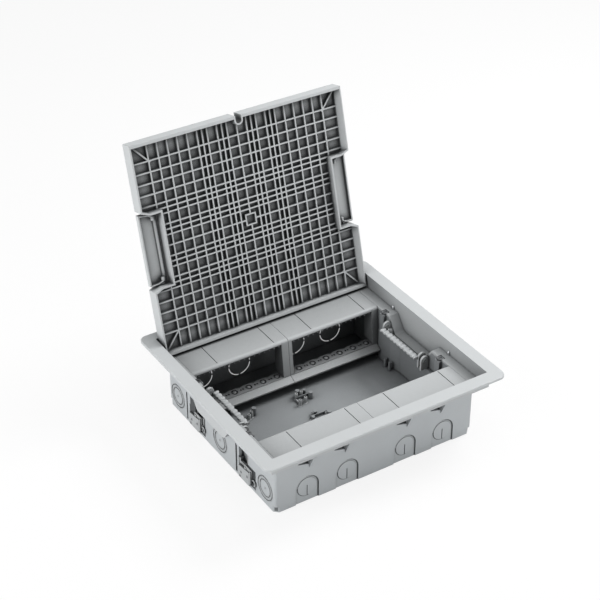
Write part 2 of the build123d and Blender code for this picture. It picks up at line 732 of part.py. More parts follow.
def opened(part):
    """Turn a piece of the lid from shut to leaning open on its stop."""
    return Pos(0, pivot_y, pivot_z) * Rot(-lid_open_angle, 0, 0) * Pos(0, -pivot_y, -pivot_z) * part


def make_hinge_pin(side):
    """Pivot pin held in the frame's wall and running in the lid."""
    inner = lid_half_width - lid_side_wall + hinge_pin_cover
    pin = rod_x(hinge_pin_radius, side * inner, side * (half_width + 2 * frame_wall), pivot_y, pivot_z)
    return pin


def build():
    """Every piece by the name of its node."""
    parts = {"frame": make_frame(), "tub": make_tub(), "lid": opened(make_lid_closed()),
             "comb_screws": make_comb_screws()}
    blank = make_holder_blank()
    for name, side in SIDES:
        parts["cable_comb_" + name] = make_comb(side)
        parts["cable_flap_" + name] = opened(make_flap_closed(side))
        parts["flap_pin_" + name] = opened(make_flap_pin_closed(side))
        parts["lid_hinge_pin_" + name] = make_hinge_pin(side)
        for end_name, end, y in ENDS:
            place = end_name + "_" + name
            parts["device_holder_" + place] = place_holder(blank, side, end)
            parts["clamp_screw_" + place] = make_clamp_screw(side, y)
            parts["clamp_claw_" + place] = make_clamp_claw(side, end, y)
    return parts


os.makedirs("parts", exist_ok=True)
for node, part in build().items():
    shape = Compound(part) if isinstance(part, list) else part
    export_step(shape, "parts/" + node + ".step")
    print(node, "solids", len(shape.solids()))
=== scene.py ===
import math

import bmesh
import bpy
import numpy as np
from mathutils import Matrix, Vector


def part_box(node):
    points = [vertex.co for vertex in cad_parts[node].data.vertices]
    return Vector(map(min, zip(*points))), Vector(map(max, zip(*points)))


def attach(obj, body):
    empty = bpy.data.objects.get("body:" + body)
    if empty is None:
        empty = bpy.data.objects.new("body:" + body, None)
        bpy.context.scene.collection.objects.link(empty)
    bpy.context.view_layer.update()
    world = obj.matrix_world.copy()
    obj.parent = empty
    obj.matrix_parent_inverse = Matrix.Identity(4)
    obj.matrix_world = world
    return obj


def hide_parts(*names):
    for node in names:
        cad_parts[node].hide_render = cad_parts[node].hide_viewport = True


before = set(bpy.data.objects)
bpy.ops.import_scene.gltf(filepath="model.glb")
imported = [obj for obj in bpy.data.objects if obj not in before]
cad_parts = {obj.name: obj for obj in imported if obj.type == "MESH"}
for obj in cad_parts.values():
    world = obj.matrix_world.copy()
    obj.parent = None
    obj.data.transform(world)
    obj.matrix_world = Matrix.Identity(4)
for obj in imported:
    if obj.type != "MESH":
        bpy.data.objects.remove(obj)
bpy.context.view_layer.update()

mm = 0.001
print("frame loaded:", len(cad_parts), "nodes")


class Sock:
    # One output of a shader node; arithmetic on it adds Math nodes to the same tree
    def __init__(self, shader, socket):
        self.shader = shader
        self.socket = socket

    def math(self, operation, other=None, clamp=False):
        values = {0: self} if other is None else {0: self, 1: other}
        return self.shader.add("ShaderNodeMath", {"operation": operation, "use_clamp": clamp}, values)

    def __add__(self, other):
        return self.math("ADD", other)

    __radd__ = __add__

    def __mul__(self, other):
        return self.math("MULTIPLY", other)

    __rmul__ = __mul__

    def __sub__(self, other):
        return self.math("SUBTRACT", other)

    def __rsub__(self, other):
        return (self * -1.0) + other

    def __pow__(self, other):
        return self.math("POWER", other)

    def __abs__(self):
        return self.math("ABSOLUTE")

    def above(self, edge):
        return self.math("GREATER_THAN", edge)

    def below(self, edge):
        return self.math("LESS_THAN", edge)

    def between(self, low, high):
        return self.above(low) * self.below(high)


class NodeTree:
    # The nodes of a material or of the world
    def __init__(self, tree):
        self.tree = tree

    def feed(self, socket, value):
        # Links a Sock and sets anything else
        if isinstance(value, Sock):
            self.tree.links.new(value.socket, socket)
        else:
            socket.default_value = value

    def add(self, kind, settings, values, output=0):
        # A node by its type, its settings, and the values or links of its sockets; colour stops go to its ramp
        node = self.tree.nodes.new(kind)
        for key, value in settings.items():
            if key == "stops":
                ramp = node.color_ramp
                while len(ramp.elements) < len(value):
                    ramp.elements.new(0.5)
                for element, (position, colour) in zip(ramp.elements, value):
                    element.position = position
                    element.color = colour
            else:
                setattr(node, key, value)
        for key, value in values.items():
            self.feed(node.inputs[key], value)
        return Sock(self, node.outputs[output])


class Shader(NodeTree):
    # A material with its Principled BSDF and Object coordinates ready to use
    def __init__(self, name):
        self.material = bpy.data.materials.new(name)
        self.material.use_nodes = True
        super().__init__(self.material.node_tree)
        self.bsdf = self.tree.nodes["Principled BSDF"]
        self.place = self.add("ShaderNodeTexCoord", {}, {}, "Object")

    def noise(self, scale, detail, roughness):
        values = {"Vector": self.place, "Scale": scale, "Detail": detail, "Roughness": roughness}
        return self.add("ShaderNodeTexNoise", {}, values, "Fac")

    def ramp(self, fac, stops):
        return self.add("ShaderNodeValToRGB", {"stops": stops}, {"Fac": fac})

    def mixColour(self, fac, first, second):
        return self.add("ShaderNodeMix", {"data_type": "RGBA"}, {0: fac, 6: first, 7: second}, 2)

    def bump(self, height, distance, strength, **values):
        return self.add("ShaderNodeBump", {}, {"Height": height, "Distance": distance, "Strength": strength, **values})

    def axis(self, index):
        # 0, 1 and 2 are the object's X, Y and Z in metres
        return self.add("ShaderNodeSeparateXYZ", {}, {0: self.place}, index)

    def finish(self, **inputs):
        for name, value in inputs.items():
            self.feed(self.bsdf.inputs[name.replace("_", " ")], value)
        return self.material


def grey(level, tint=(1.0, 1.0, 1.0)):
    # The level times each part of the tint, opaque
    return (level * tint[0], level * tint[1], level * tint[2], 1.0)


# Spark-eroded mouldings, whose colour drifts either side of its level. flow, fine and grain are noises, each with
# its specks per metre, detail and roughness; grainDepth and edgeWear are metres. crevice and hollow are painted shade:
# each gives a reach in metres, the openness that counts as closed and as open, and how much of the colour is left
# where closed; deepShare and deepTint give the colour where that shade is full.
plastic = {"level": 0.54, "tint": (0.965, 1.0, 1.015), "drift": 0.02, "flow": (14.0, 4.0, 0.55),
           "fine": (90.0, 6.0, 0.6), "grain": (2600.0, 2.0, 0.7), "grainDepth": 0.00003, "grainStrength": 0.5,
           "edgeWear": 0.00030, "dust": 0.05, "dustFrom": 0.45, "dustTo": 0.72, "dustShare": 0.72,
           "dustTint": (1.02, 1.0, 0.97), "deepShare": 0.035, "deepTint": (0.9, 1.0, 1.1), "roughLow": 0.50,
           "roughHigh": 0.64, "flowShare": 0.6, "specular": 0.42, "crevice": (0.0025, 0.25, 0.94, 0.40),
           "hollow": (0.055, 0.12, 0.95, 0.08)}
lidPlastic = {**plastic, "crevice": (0.0085, 0.52, 0.97, 0.10), "hollow": (0.03, 0.15, 0.8, 0.6)}
tubPlastic = {**plastic, "level": 0.49, "tint": (0.95, 1.0, 1.03), "crevice": (0.003, 0.34, 0.97, 0.25),
              "hollow": (0.085, 0.10, 0.93, 0.09)}
fittingPlastic = {**plastic, "level": 0.50, "hollow": (0.055, 0.12, 0.80, 0.25)}
clampPlastic = {**plastic, "level": 0.45, "crevice": (0.0035, 0.42, 0.97, 0.10)}
holderPlastic = {**plastic, "level": 0.485, "crevice": (0.0025, 0.32, 0.96, 0.30), "hollow": (0.11, 0.20, 0.93, 0.10)}
# Inside of the tub in metres, how much of the hollow shade counts outside it, and how far the inside is dimmed by
# painted shade
inside = {"x": 0.1089, "y": 0.0979, "outsideShare": 0.22, "dim": 0.66}
# Painted shade over the mouths of the clamp pockets and the tall slots on the side walls: low and high Y and Z, in
# metres
paintedMouths = {"x": 0.1116, "boxes": ((-0.0655, -0.0350, 0.0030, 0.0250), (0.0285, 0.0588, 0.0030, 0.0250),
                                 (0.0415, 0.0575, 0.0240, 0.0345), (-0.0522, -0.0362, 0.0240, 0.0345),
                                 (-0.0322, -0.0298, 0.0028, 0.0345), (0.0630, 0.0653, 0.0028, 0.0345)),
          "shade": 0.10}
# Rays that look for neighbours, and for the edges to round
samples = {"openness": 8, "edge": 4}


def openness(s, settings):
    # 1 where the surface is open, falling to the shade where neighbours within reach close it in; it darkens colour as
    # painted shade
    reach, closed, clear, shade = settings
    seen = s.add("ShaderNodeAmbientOcclusion", {"samples": samples["openness"]}, {"Distance": reach}, "AO")
    fall = (seen - closed).math("DIVIDE", clear - closed, clamp=True)
    return fall * (1.0 - shade) + shade


def insideTub(s):
    # 1 between the tub's walls and 0 elsewhere
    return abs(s.axis(0)).below(inside["x"]) * abs(s.axis(1)).below(inside["y"])


def paintedMouthShade(s):
    # Painted shade: dark wherever a point of the side walls' outer face lies in one of the boxes
    wall = abs(s.axis(0)).above(paintedMouths["x"])
    covered = 0.0
    for y0, y1, z0, z1 in paintedMouths["boxes"]:
        covered = s.axis(1).between(y0, y1) * s.axis(2).between(z0, z1) + covered
    return 1.0 - covered.math("MINIMUM", 1.0) * wall * (1.0 - paintedMouths["shade"])


# Rows of tie eyelets along the shelves, in millimetres: the first one's X, the step, and the rows' places in Y
eyelets = {"first": 13.025, "pitch": 16.5, "count": 6, "shiftLeft": -108.55, "rear": 57.1, "front": -64.4}
# Painted shade of a slot round each eyelet and of two dots between neighbours, in metres, on the shelf's top alone
eyeletSlotShade = {"ring": (0.0021, 0.0033), "dotAt": 0.0071, "dot": 0.0007, "z": (0.0168, 0.0196), "shade": 0.16}


def eyeletShade(s):
    # Painted shade; the distance to the nearest eyelet is the root of the squared distances along X and Y
    e, slots = eyelets, eyeletSlotShade
    x, y, z = s.axis(0), s.axis(1), s.axis(2)
    start = x.below(0.0) * (e["shiftLeft"] * mm) + e["first"] * mm
    across = (x - start).math("PINGPONG", e["pitch"] * mm / 2)
    along = abs(y - e["rear"] * mm).math("MINIMUM", abs(y - e["front"] * mm))
    reach = (across * across + along * along) ** 0.5
    side = across - slots["dotAt"]
    dots = ((side * side + along * along) ** 0.5).below(slots["dot"])
    covered = (reach.between(*slots["ring"]) + dots).math("MINIMUM", 1.0)
    return 1.0 - covered * z.between(*slots["z"]) * (1.0 - slots["shade"])


# Painted shadows on the tub's front, in metres: each arch's right side and the lower left of its disc as the radii of
# a ring; and a dark patch at the corner feet, as the least X, the Y that they start at, and low and high Z
frontShadePaint = {"face": -0.0985, "centres": (-0.0772, -0.0330, 0.0330, 0.0772), "height": 0.0169,
              "edge": (0.0114, 0.0127), "disc": (0.0101, 0.0110), "foot": (0.1086, -0.0968, 0.0012, 0.0056),
              "archFrom": -0.001, "discTo": (0.002, 0.001), "shade": 0.28}


def frontShade(s):
    # Painted shadow in rings round each arch's centre: straight below it on the right, and a quarter of the disc at
    # the lower left
    m = frontShadePaint
    x, z = s.axis(0), s.axis(2)
    up = z - m["height"]
    raised = up.math("MAXIMUM", 0.0)
    covered = 0.0
    for centre in m["centres"]:
        across = x - centre
        arch = (across * across + raised * raised) ** 0.5
        disc = (across * across + up * up) ** 0.5
        covered = arch.between(*m["edge"]) * across.above(m["archFrom"]) + covered
        lowerLeft = across.below(m["discTo"][0]) * up.below(m["discTo"][1])
        covered = disc.between(*m["disc"]) * lowerLeft + covered
    covered = covered * s.axis(1).below(m["face"])
    side, front, bottom, top = m["foot"]
    covered = abs(x).above(side) * s.axis(1).below(front) * z.between(bottom, top) + covered
    return 1.0 - covered.math("MINIMUM", 1.0) * (1.0 - m["shade"])


def mouldedPlastic(name, settings, tub=False, shadeMarks=()):
    # Drifting grey under a film of dust, times the painted shade of crevices, hollows and the shade masks passed in,
    # with grain on worn edges
    s = Shader(name)
    level, tint, drift = settings["level"], settings["tint"], settings["drift"]
    flow, fine, grain = [s.noise(*settings[key]) for key in ("flow", "fine", "grain")]
    base = s.mixColour(flow, grey(level - drift, tint), grey(level + drift, tint))
    dusty = s.ramp(fine, [(settings["dustFrom"], grey(0.0)), (settings["dustTo"], grey(settings["dust"]))])
    colour = s.mixColour(dusty, base, grey(level * settings["dustShare"], settings["dustTint"]))
    # Painted shade where neighbours within reach close the surface in: hollows here, crevices below
    hollow = openness(s, settings["hollow"])
    # Painted shade: the tub's inside is darker throughout, and the hollow shade counts only in part outside it
    if tub:
        within = insideTub(s)
        share = within * (1.0 - inside["outsideShare"]) + inside["outsideShare"]
        hollow = (1.0 - (1.0 - hollow) * share) * (1.0 - within * (1.0 - inside["dim"]))
    shade = openness(s, settings["crevice"]) * hollow
    # Each shade mask passed in multiplies the painted shade
    for shadeMark in shadeMarks:
        shade = shade * shadeMark(s)
    # Where the painted shade closes in, the colour falls towards the deep grey
    colour = s.mixColour(shade, grey(level * settings["deepShare"], settings["deepTint"]), colour)
    low, span, flowShare = settings["roughLow"], settings["roughHigh"] - settings["roughLow"], settings["flowShare"]
    roughness = flow * (span * flowShare) + fine * (span * (1.0 - flowShare)) + low
    edge = s.add("ShaderNodeBevel", {"samples": samples["edge"]}, {"Radius": settings["edgeWear"]})
    bump = s.bump(grain, settings["grainDepth"], settings["grainStrength"], Normal=edge)
    return s.finish(Base_Color=colour, Roughness=roughness, Normal=bump, Specular_IOR_Level=settings["specular"])


# Zinc plate on steel: bright, slightly blue, with faint drawing lines. The long screws have thread lines below their
# duller heads, with painted shade in the thread grooves. Lengths are in metres.
zinc = {"level": 0.62, "worn": 0.86, "bright": 1.1, "tint": (0.98, 1.0, 1.03), "blotch": (160.0, 5.0, 0.55),
        "line": (420.0, 2.0, 0.5), "lineDepth": 0.00012, "lineStrength": 0.6, "lineShare": 0.1, "roughLow": 0.20,
        "roughBlotch": 0.16, "roughLine": 0.08, "threadPitch": 0.001, "threadGrooveShade": 0.12, "headLevel": 0.26,
        "headFrom": 0.056}


def zincSteel(name, threaded=False):
    # Blotches mix worn and bright zinc; a thread is the sine of Z over its pitch, cut off below the head, and its
    # grooves are painted dark as shade
    s = Shader(name)
    blotch, height = s.noise(*zinc["blotch"]), s.noise(*zinc["line"])
    roughness = blotch * zinc["roughBlotch"] + height * zinc["roughLine"] + zinc["roughLow"]
    colour = s.mixColour(blotch, grey(zinc["level"] * zinc["worn"], zinc["tint"]),
                         grey(zinc["level"] * zinc["bright"], zinc["tint"]))
    if threaded:
        wave = (s.axis(2) * (2 * math.pi / zinc["threadPitch"])).math("SINE")
        shank = s.axis(2).below(zinc["headFrom"])
        height = height * zinc["lineShare"] + wave * shank
        thread = s.mixColour(wave * 0.5 + 0.5, grey(zinc["threadGrooveShade"]), grey(zinc["level"]))
        colour = s.mixColour(shank, grey(zinc["headLevel"], zinc["tint"]), thread)
    bump = s.bump(height, zinc["lineDepth"], zinc["lineStrength"])
    return s.finish(Base_Color=colour, Roughness=roughness, Metallic=1.0, Normal=bump)


# Plastic so thin at the knock-outs that daylight makes it pale, as painted light: a pale colour that also glows
web = {"drift": (300.0, 3.0, 0.55), "low": 0.80, "high": 0.92, "rough": 0.4, "roughDrift": 0.1, "glow": 0.45}


def thinWeb(name):
    # A noise mixes two pale greys, and the mixed colour also glows a little: painted light
    s = Shader(name)
    drift = s.noise(*web["drift"])
    colour = s.mixColour(drift, grey(web["low"]), grey(web["high"]))
    return s.finish(Base_Color=colour, Roughness=drift * web["roughDrift"] + web["rough"], Emission_Color=colour,
                    Emission_Strength=web["glow"])


bodyFinish = mouldedPlastic("bodyPlastic", plastic)
lidFinish = mouldedPlastic("lidPlastic", lidPlastic)
tubFinish = mouldedPlastic("tubPlastic", tubPlastic, True, (paintedMouthShade, frontShade))
fittingFinish = mouldedPlastic("fittingPlastic", fittingPlastic)
clampFinish = mouldedPlastic("clampPlastic", clampPlastic)
holderFinish = mouldedPlastic("holderPlastic", holderPlastic, shadeMarks=(eyeletShade,))
steel = zincSteel("zincPlatedSteel")
threadedSteel = zincSteel("threadedSteel", True)
webFinish = thinWeb("knockoutWeb")
print("materials ready")

nodeMaterials = {"frame": bodyFinish, "lid": lidFinish, "cable_flap": lidFinish, "tub": tubFinish,
                 "device_holder": holderFinish, "cable_comb": fittingFinish, "clamp_claw": clampFinish,
                 "clamp_screw": threadedSteel, "comb_screws": steel, "flap_pin": steel, "lid_hinge_pin": steel}
for name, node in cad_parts.items():
    match = max((key for key in nodeMaterials if name.startswith(key)), key=len)
    node.data.materials.clear()
    node.data.materials.append(nodeMaterials[match])
print("CAD nodes painted")

sides = {"left": -1, "right": 1}
creaseAngle = 30.0  # degrees, above which an edge of a new piece stays sharp
# Points along the curves of the new pieces, and along each stretch of a bead's path
facets = {"corner": 6, "round": 32, "small": 20, "bead": 12, "beadStretch": 8, "ring": 48, "ringTube": 8, "arc": 14,
          "tabHead": 14, "barRows": 145, "bar": 24}


def gridQuads(rows, columns, start):
    # Quads of a grid that closes on itself along its columns
    r, c = np.meshgrid(np.arange(rows - 1), np.arange(columns), indexing="ij")
    nextColumn = (c + 1) % columns
    return np.stack([r * columns + c, r * columns + nextColumn, (r + 1) * columns + nextColumn,
                     (r + 1) * columns + c], axis=-1).reshape(-1, 4) + start


def addPiece(name, surfaces, material, body):
    # Surfaces are arrays of rows of points in millimetres; each row is a closed ring
    start, points, quads = 0, [], []
    for surface in surfaces:
        rows, columns = surface.shape[:2]
        points.append(surface.reshape(-1, 3) * mm)
        quads.append(gridQuads(rows, columns, start))
        start += rows * columns
    mesh = bpy.data.meshes.new(name)
    mesh.from_pydata(np.concatenate(points).tolist(), [], np.concatenate(quads).tolist())
    shell = bmesh.new()
    shell.from_mesh(mesh)
    bmesh.ops.remove_doubles(shell, verts=shell.verts, dist=1e-7)
    bmesh.ops.recalc_face_normals(shell, faces=shell.faces)
    shell.to_mesh(mesh)
    shell.free()
    mesh.shade_smooth()
    mesh.set_sharp_from_angle(angle=math.radians(creaseAngle))
    obj = bpy.data.objects.new(name, mesh)
    bpy.context.scene.collection.objects.link(obj)
    mesh.materials.append(material)
    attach(obj, body)
    return obj


def capped(rings):
    # The first and last ring shrink to their middles, which closes both ends
    first, last = rings[:1].mean(axis=1, keepdims=True), rings[-1:].mean(axis=1, keepdims=True)
    return np.concatenate([np.repeat(first, rings.shape[1], axis=1), rings, np.repeat(last, rings.shape[1], axis=1)])


def onAxes(axis, across, up, along):
    # Puts outline coordinates and a height on the object's axes
    order = {"x": (along, across, up), "y": (across, along, up), "z": (across, up, along)}[axis]
    return np.stack(np.broadcast_arrays(*order), axis=-1)


def slab(outline, low, high, axis, edge=0.3):
    # An outline carried from low to high, drawn in by the edge at both ends
    outline = np.array(outline, float)
    middle = outline.mean(axis=0)
    reach = np.abs(outline - middle).max()
    shrink = 1.0 - edge / reach
    levels = np.array([low, low + edge, high - edge, high])
    scales = np.array([shrink, 1.0, 1.0, shrink])
    ring = middle + (outline - middle) * scales[:, None, None]
    return capped(onAxes(axis, ring[..., 0], ring[..., 1], np.broadcast_to(levels[:, None], ring.shape[:2])))


def roundedOutline(a0, a1, b0, b1, radius):
    # Rectangle with its four corners as quarter circles
    turn = np.linspace(0, math.pi / 2, facets["corner"])
    corners = [(a1 - radius, b1 - radius, 0), (a0 + radius, b1 - radius, 1), (a0 + radius, b0 + radius, 2),
               (a1 - radius, b0 + radius, 3)]
    return np.concatenate([np.stack([a + radius * np.cos(turn + q * math.pi / 2),
                                     b + radius * np.sin(turn + q * math.pi / 2)], axis=1) for a, b, q in corners])


def turned(profile, centre, axis, steps=facets["round"]):
    # A profile of radius and height turned about an axis through the centre
    profile = np.array(profile, float)
    angle = np.linspace(0, 2 * math.pi, steps, endpoint=False)
    across = profile[:, :1] * np.cos(angle)
    up = profile[:, :1] * np.sin(angle)
    along = np.broadcast_to(profile[:, 1:], across.shape)
    return onAxes(axis, across, up, along) + np.array(centre, float)


def bead(path, radius):
    # A circle carried along a path, its ring square to the path's run, with round ends
    path = np.array(path, float)
    t = np.linspace(0, len(path) - 1, facets["beadStretch"] * (len(path) - 1) + 1)
    line = np.stack([np.interp(t, np.arange(len(path)), path[:, k]) for k in range(3)], axis=1)
    run = np.gradient(line, axis=0)
    run /= np.linalg.norm(run, axis=1, keepdims=True)
    across = np.cross(run, (0.31, 0.17, 0.93))  # a direction that no path here follows
    across /= np.linalg.norm(across, axis=1, keepdims=True)
    up = np.cross(run, across)
    angle = np.linspace(0, 2 * math.pi, facets["bead"], endpoint=False)
    taper = np.ones(len(line))
    taper[[0, -1]] = 0.45  # how much of the radius is left at the ends
    ring = across[:, None] * np.cos(angle)[None, :, None] + up[:, None] * np.sin(angle)[None, :, None]
    return capped(line[:, None] + ring * radius * taper[:, None, None])


def torus(radius, thick, centre, axis, arc=None):
    # A small circle carried round a large one, or round an arc of it between two angles
    tube = np.linspace(0, 2 * math.pi, facets["ringTube"], endpoint=False)
    closed = arc is None
    start, end = (0, 2 * math.pi) if closed else arc
    turn = np.linspace(start, end, facets["ring" if closed else "arc"])[:, None]
    across = (radius + thick * np.cos(tube)) * np.cos(turn)
    up = (radius + thick * np.cos(tube)) * np.sin(turn)
    rings = onAxes(axis, across, up, np.broadcast_to(thick * np.sin(tube), across.shape)) + np.array(centre, float)
    return rings if closed else capped(rings)


def mirrorX(surfaces, side):
    # X times the side's sign
    return [surface * np.array([side, 1.0, 1.0]) for surface in surfaces]


# Cable combs, in millimetres: a scalloped bar over the well's side wall, a rail at the bar's foot on the wall, an
# upright tab at the front, brackets with a ring each as Y, top and low, and a round boss with its stem and gusset
comb = {"front": -26.8, "rear": 31.5, "inner": 94.6, "outer": 101.2, "top": 51.4, "thick": 3.2, "pitch": 5.8,
        "scallop": 1.0, "scallopRise": 0.9, "wall": 108.5, "rail": (39.8, 42.9), "railReach": 3.4,
        "tabY": (-28.3, -26.0), "tabReach": (9.2, 0.2), "tabLow": 38.2, "tabTop": 55.0,
        "brackets": ((-32.0, 53.5, 37.5), (32.9, 57.0, 47.0)), "bracketReach": 9.5, "bracketHalf": 1.2,
        "ringInset": 4.8, "ring": ((0, -1.0), (1.3, -1.0), (1.5, -1.7), (2.4, -1.7), (2.6, -1.2), (0, -0.8)),
        "boss": (104.6, 31.5, 45.4), "stem": (27.2, 35.8, 38.4, 45.4), "stemFace": 104.7, "edge": 0.4, "power": 0.55,
        "bossRim": ((0, 0.5), (1.5, 0.5), (1.6, -0.2), (2.1, -0.2), (2.3, 0.3), (3.1, 0.3), (3.3, 0.8), (3.3, 3.9),
                    (0, 3.9)),
        "gusset": ((95.6, 48.4), (108.5, 38.5), (108.5, 43.5), (97.1, 49.8)), "gussetY": (27.9, 31.1)}


def squared(v):
    # The sign of a sine or cosine times its size to a power under 1, which turns a circle towards a square
    return np.sign(v) * np.abs(v) ** comb["power"]


def combBar(c):
    # A flattened ring whose half width swells and narrows with |cos| of the distance along it
    y = np.linspace(c["front"], c["rear"], facets["barRows"])
    swell = c["scallop"] * np.abs(np.cos(math.pi * (y - c["front"]) / c["pitch"]))
    angle = np.linspace(0, 2 * math.pi, facets["bar"], endpoint=False)
    half = (c["outer"] - c["inner"]) / 2 - c["scallop"] + swell[:, None]
    rise = c["thick"] / 2 - c["scallopRise"] + c["scallopRise"] * swell[:, None] / c["scallop"]
    x = (c["outer"] + c["inner"]) / 2 + half * squared(np.cos(angle))
    z = c["top"] - c["thick"] / 2 + rise * squared(np.sin(angle))
    return capped(np.stack(np.broadcast_arrays(x, y[:, None], z), axis=-1))


def tabOutline(x0, x1, low, top):
    # Upright tab with a half-round head
    radius = (x1 - x0) / 2
    turn = np.linspace(0, math.pi, facets["tabHead"])
    head = np.stack([x0 + radius + radius * np.cos(turn), top - radius + radius * np.sin(turn)], axis=1)
    return np.concatenate([[(x1, low)], head, [(x0, low)]])


def rectangle(a0, a1, b0, b1):
    # The four corners of a rectangle
    return [(a0, b0), (a1, b0), (a1, b1), (a0, b1)]


def makeCombs():
    # The bar; the tab, brackets and gusset as outlines carried along Y, the stem and rail as ones carried along X;
    # the boss and rings as turned profiles
    c = comb
    wall, half = c["wall"], c["bracketHalf"]
    surfaces = [combBar(c), turned(c["bossRim"], c["boss"], "x"), slab(c["gusset"], *c["gussetY"], "y")]
    tab = tabOutline(wall - c["tabReach"][0], wall - c["tabReach"][1], c["tabLow"], c["tabTop"])
    surfaces.append(slab(tab, *c["tabY"], "y", c["edge"]))
    for y, top, low in c["brackets"]:
        surfaces.append(slab(tabOutline(wall - c["bracketReach"], wall, low, top), y - half, y + half, "y", c["edge"]))
        surfaces.append(turned(c["ring"], (wall - c["ringInset"], y, top - c["ringInset"]), "y"))
    surfaces.append(slab(rectangle(*c["stem"]), c["stemFace"], wall, "x"))
    surfaces.append(slab(rectangle(c["front"], c["rear"], *c["rail"]), wall - c["railReach"], wall, "x"))
    for name, side in sides.items():
        piece = addPiece("combDetail_" + name, mirrorX(surfaces, side), fittingFinish, "base")
        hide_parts("cable_comb_" + name)


makeCombs()
print("combs made")

# The well's side walls run out smoothly to the rear clamp housings' faces: the ramp's plan as X and Y, and its Z
ramp = {"plan": ((108.7, 14.0), (105.35, 27.0), (105.35, 29.2), (108.7, 29.2)), "z": (2.6, 36.9), "edge": 0.1}


def makeHousingRamps():
    # The plan carried up from the floor to the housing's roof
    surface = slab(ramp["plan"], *ramp["z"], "z", ramp["edge"])
    surfaces = [mirrorX([surface], side)[0] for side in sides.values()]
    addPiece("housingRamps", surfaces, tubFinish, "base")


makeHousingRamps()
print("housing ramps made")

# Floor clamps, in millimetres: plates as low and high Y, low and high Z, corner radius, and how far they start and
# end from the wall's face. The rear ones are the front ones carried along Y.
clamp = {"places": {"front": 0.0, "rear": 94.4}, "face": 112.15, "plate": (-57.2, -36.8, 2.9, 16.4), "tilt": 2.6,
         "plateRadius": 1.6, "thick": 2.1, "plateEdge": 0.35,
         "plates": (((-60.6, -46.5, 12.0, 22.6), 1.2, (0.0, 1.0), 0.25),
                    ((-60.0, -58.4, 7.0, 21.6), 0.7, (0.0, 2.6), 0.3),
                    ((-50.7, -47.9, 18.2, 20.8), 0.5, (0.9, 1.7), 0.3)),
         "rivets": ((-42.4, 10.4), (-40.6, 5.0), (-53.6, 12.4)),
         "rivet": ((0, -0.5), (0.75, -0.5), (0.85, 0.35), (1.25, 0.3), (1.4, -0.2), (0, -0.9)),
         "hook": ((-60.8, 13.0), (-63.8, 14.2), (-66.2, 12.4), (-66.4, 9.4), (-64.2, 8.4)), "hookRadius": 0.75,
         "hookOut": 0.9, "hub": (7.0, 15.0), "hubInset": 1.5, "hubRadius": 0.8, "hubHalf": 0.6}


def clampPlates():
    # The outer plate's top edge rises evenly towards the front; the rest are rounded outlines carried along X
    y0, y1, z0, z1 = clamp["plate"]
    face, proud = clamp["face"], clamp["face"] + clamp["thick"]
    outline = roundedOutline(y0, y1, z0, z1, clamp["plateRadius"])
    rise = (y1 - outline[:, 0]) / (y1 - y0) * clamp["tilt"]
    outline[:, 1] += np.where(outline[:, 1] > (z0 + z1) / 2, rise, 0)
    surfaces = [slab(outline, face, proud, "x", clamp["plateEdge"])]
    for sizes, radius, (low, high), edge in clamp["plates"]:
        surfaces.append(slab(roundedOutline(*sizes, radius), face + low, face + high, "x", edge))
    surfaces += [turned(clamp["rivet"], (proud, y, z), "x", facets["small"]) for y, z in clamp["rivets"]]
    surfaces.append(bead([(face + clamp["hookOut"], y, z) for y, z in clamp["hook"]], clamp["hookRadius"]))
    return surfaces


def makeClamps():
    # Each claw carries the plates, moved along Y, and a pad that spans the claw itself
    face, inset, half = clamp["face"], clamp["hubInset"], clamp["hubHalf"]
    plates = clampPlates()
    for name, side in sides.items():
        for end, shift in clamp["places"].items():
            claw = "clamp_claw_" + end + "_" + name
            yLow, yHigh = sorted(corner[1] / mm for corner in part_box(claw))
            pad = roundedOutline(yLow + inset, yHigh - inset, *clamp["hub"], clamp["hubRadius"])
            surfaces = [surface + np.array([0.0, shift, 0.0]) for surface in plates]
            surfaces.append(slab(pad, face - half, face + half, "x"))
            addPiece("clampPlate_" + end + "_" + name, mirrorX(surfaces, side), clampFinish, claw)


makeClamps()
print("clamps made")

# Knock-outs, in millimetres and degrees: raised lips round the side rings, a pip at each middle, and pale webs in
# the rear wall's slits, with a bridge left between quarters
knock = {"ringY": (-82.5, 0.0, 82.5), "ringZ": 18.6, "wallX": 112.0, "lips": (13.1, 11.6, 9.7, 8.2), "lip": 0.28,
         "pip": ((0, 0.05), (0.5, 0.05), (0.62, 0.45), (1.05, 0.4), (1.3, -0.1), (0, -0.4)),
         "rearX": (-77.2, -33.0, 33.0, 77.2), "rearZ": 17.3, "webRadius": 12.25, "webThick": 0.42, "inside": 97.5,
         "bridge": 6.0}


def makeKnockouts():
    # Small circles carried round large ones, whole on the sides and in quarters at the rear
    rings = []
    for y in knock["ringY"]:
        centre = (knock["wallX"], y, knock["ringZ"])
        rings += [torus(r, knock["lip"], centre, "x") for r in knock["lips"]]
        rings.append(turned(knock["pip"], centre, "x", facets["small"]))
    lips = [surface for side in sides.values() for surface in mirrorX(rings, side)]
    addPiece("knockoutLips", lips, fittingFinish, "base")
    gap, quarter = math.radians(knock["bridge"]), math.pi / 2
    webs = [torus(knock["webRadius"], knock["webThick"], (x, knock["inside"], knock["rearZ"]), "y",
                  (q * quarter + gap, (q + 1) * quarter - gap)) for x in knock["rearX"] for q in range(4)]
    addPiece("knockoutWebs", webs, webFinish, "base")


makeKnockouts()
print("knock-outs made")

